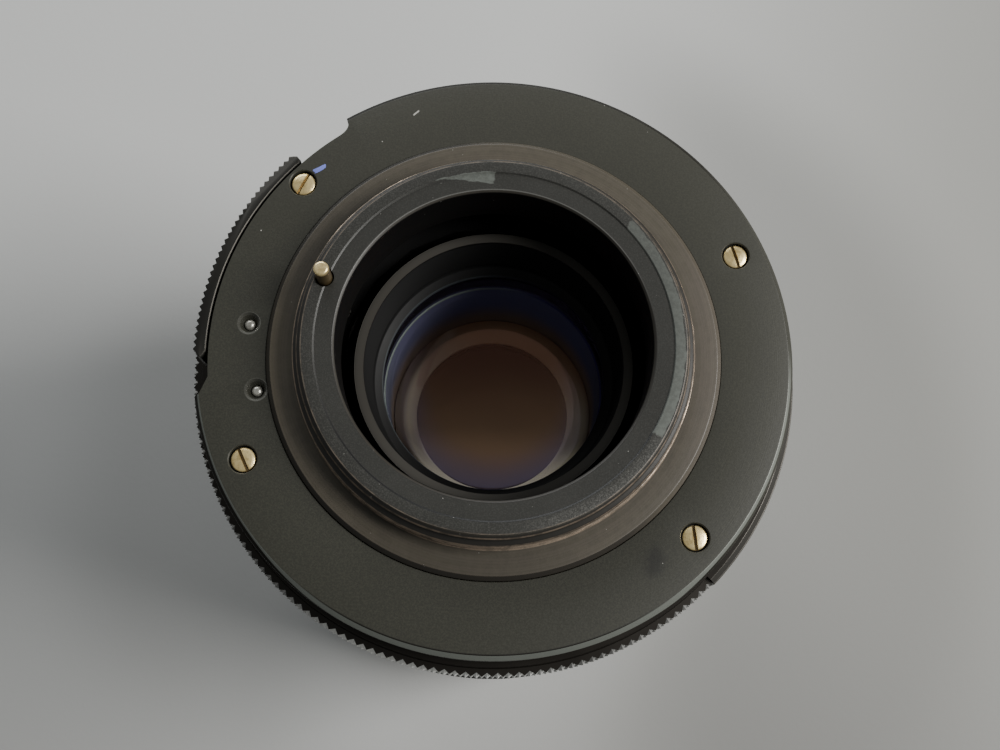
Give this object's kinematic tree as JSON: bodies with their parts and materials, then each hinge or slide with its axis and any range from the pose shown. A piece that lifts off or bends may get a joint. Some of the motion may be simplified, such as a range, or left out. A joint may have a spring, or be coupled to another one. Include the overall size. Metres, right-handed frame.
{
  "type": "screw mount camera lens",
  "caption": "Short telephoto camera lens with a threaded rear mount, sprung diaphragm pin, slider, aperture and focus rings, a bladed iris and coated glass elements.",
  "frame": {"origin": "centre of the front rim, on the plane that the lens stands on", "axes": "+Z along the optical axis, out of the rear screw mount; angles counter-clockwise from +X as seen from the mount"},
  "size_m": [0.0678, 0.0678, 0.0911],
  "materials": {
    "cover_black": "satin black anodised aluminium, fine turned lines, rubbed edges",
    "mount_bronze_black": "worn brown-black finish with bare grey patches on the rear face",
    "gloss_black": "gloss black",
    "ring_black": "semi-gloss black anodised aluminium, knurled",
    "inner_black": "matt black",
    "screw_brass": "pale plated brass, machined",
    "brass": "machined",
    "steel": "turned",
    "grip_rubber": "ribbed",
    "coated_glass": "amber and violet anti-reflection coating"
  },
  "bodies": {
    "barrel": {"mount_ring": "mount_bronze_black", "rear_cover": "cover_black", "cover_screw_1": "screw_brass", "cover_screw_2": "screw_brass", "cover_screw_3": "screw_brass", "cover_screw_4": "screw_brass", "cover_rivet_1": "steel", "cover_rivet_2": "steel", "main_barrel": "inner_black", "focus_key_1": "brass", "focus_key_2": "brass", "index_ring": "ring_black", "click_ball": "steel", "click_spring": "steel", "mechanism_plate": "inner_black", "lever_pivot_pin": "steel"},
    "auto_manual_slider": {"auto_manual_slider": "gloss_black"},
    "aperture_ring": {"aperture_ring": "ring_black", "preset_ring": "brass", "preset_screw": "steel"},
    "diaphragm_pin": {"diaphragm_pin": "steel", "pin_return_spring": "steel"},
    "stop_down_lever": {"stop_down_lever": "steel"},
    "focus_ring": {"focus_ring": "ring_black", "focus_grip": "grip_rubber", "focus_helicoid": "brass", "focus_grub_screw_1": "steel", "focus_grub_screw_2": "steel", "focus_grub_screw_3": "steel"},
    "optical_block": {"optics_tube": "inner_black", "front_barrel": "ring_black", "name_ring": "ring_black", "front_cell": "inner_black", "front_element": "coated_glass", "element_spacer": "inner_black", "second_element": "coated_glass", "inner_cell": "inner_black", "third_element": "coated_glass", "iris_housing": "inner_black", "rear_cell": "inner_black", "rear_element": "coated_glass", "rear_retainer": "inner_black", "stop_ring": "steel"},
    "iris_cam_ring": {"iris_cam_ring": "brass"},
    "iris_blade_1": {"iris_blade_1": "inner_black"},
    "iris_blade_2": {"iris_blade_2": "inner_black"},
    "iris_blade_3": {"iris_blade_3": "inner_black"},
    "iris_blade_4": {"iris_blade_4": "inner_black"},
    "iris_blade_5": {"iris_blade_5": "inner_black"},
    "iris_blade_6": {"iris_blade_6": "inner_black"}
  },
  "joints": [
    {"name": "aperture_turn", "type": "hinge", "parent": "barrel", "child": "aperture_ring", "pos_m": [0, 0, 0.072], "axis": [0, 0, 1], "range_deg": [-24, 24]},
    {"name": "auto_manual_slide", "type": "hinge", "parent": "barrel", "child": "auto_manual_slider", "pos_m": [0, 0, 0.0808], "axis": [0, 0, 1], "range_deg": [-9.5, 0]},
    {"name": "pin_press", "type": "slide", "parent": "barrel", "child": "diaphragm_pin", "axis": [0, 0, -1], "range_m": [0, 0.0026], "stiffness_N_per_m": 400, "springref_m": -0.002, "deforming": ["pin_return_spring"]},
    {"name": "lever_swing", "type": "hinge", "parent": "barrel", "child": "stop_down_lever", "pos_m": [-0.01978, -0.00126, 0.0712], "axis": [-0.9461, 0.3239, 0], "range_deg": [0, 20.1]},
    {"name": "focus_turn", "type": "hinge", "parent": "barrel", "child": "focus_ring", "pos_m": [0, 0, 0.035], "axis": [0, 0, 1], "range_deg": [0, 240]},
    {"name": "focus_travel", "type": "slide", "parent": "barrel", "child": "optical_block", "axis": [0, 0, -1], "range_m": [0, 0.012]},
    {"name": "iris_cam_turn", "type": "hinge", "parent": "optical_block", "child": "iris_cam_ring", "pos_m": [0, 0, 0.05], "axis": [0, 0, 1], "range_deg": [0, 10.6]},
    {"name": "iris_blade_1_swing", "type": "hinge", "parent": "optical_block", "child": "iris_blade_1", "pos_m": [0.01967, 0.00103, 0.0465], "axis": [0, 0, 1], "range_deg": [0, 21.9]},
    {"name": "iris_blade_2_swing", "type": "hinge", "parent": "optical_block", "child": "iris_blade_2", "pos_m": [0.00894, 0.01755, 0.0465], "axis": [0, 0, 1], "range_deg": [0, 21.9]},
    {"name": "iris_blade_3_swing", "type": "hinge", "parent": "optical_block", "child": "iris_blade_3", "pos_m": [-0.01073, 0.01652, 0.0465], "axis": [0, 0, 1], "range_deg": [0, 21.9]},
    {"name": "iris_blade_4_swing", "type": "hinge", "parent": "optical_block", "child": "iris_blade_4", "pos_m": [-0.01967, -0.00103, 0.0465], "axis": [0, 0, 1], "range_deg": [0, 21.9]},
    {"name": "iris_blade_5_swing", "type": "hinge", "parent": "optical_block", "child": "iris_blade_5", "pos_m": [-0.00894, -0.01755, 0.0465], "axis": [0, 0, 1], "range_deg": [0, 21.9]},
    {"name": "iris_blade_6_swing", "type": "hinge", "parent": "optical_block", "child": "iris_blade_6", "pos_m": [0.01073, -0.01652, 0.0465], "axis": [0, 0, 1], "range_deg": [0, 21.9]}
  ],
  "couplings": [
    {"joint": "focus_travel", "follows": "focus_turn", "m_per_rad": 0.0028645},
    {"joint": "lever_swing", "follows": "pin_press", "rad_per_m": 134.29},
    {"joint": "iris_cam_turn", "follows": "pin_press", "rad_per_m": 70.484},
    {"joint": "iris_blade_1_swing", "follows": "pin_press", "rad_per_m": 146.15},
    {"joint": "iris_blade_2_swing", "follows": "pin_press", "rad_per_m": 146.15},
    {"joint": "iris_blade_3_swing", "follows": "pin_press", "rad_per_m": 146.15},
    {"joint": "iris_blade_4_swing", "follows": "pin_press", "rad_per_m": 146.15},
    {"joint": "iris_blade_5_swing", "follows": "pin_press", "rad_per_m": 146.15},
    {"joint": "iris_blade_6_swing", "follows": "pin_press", "rad_per_m": 146.15}
  ]
}
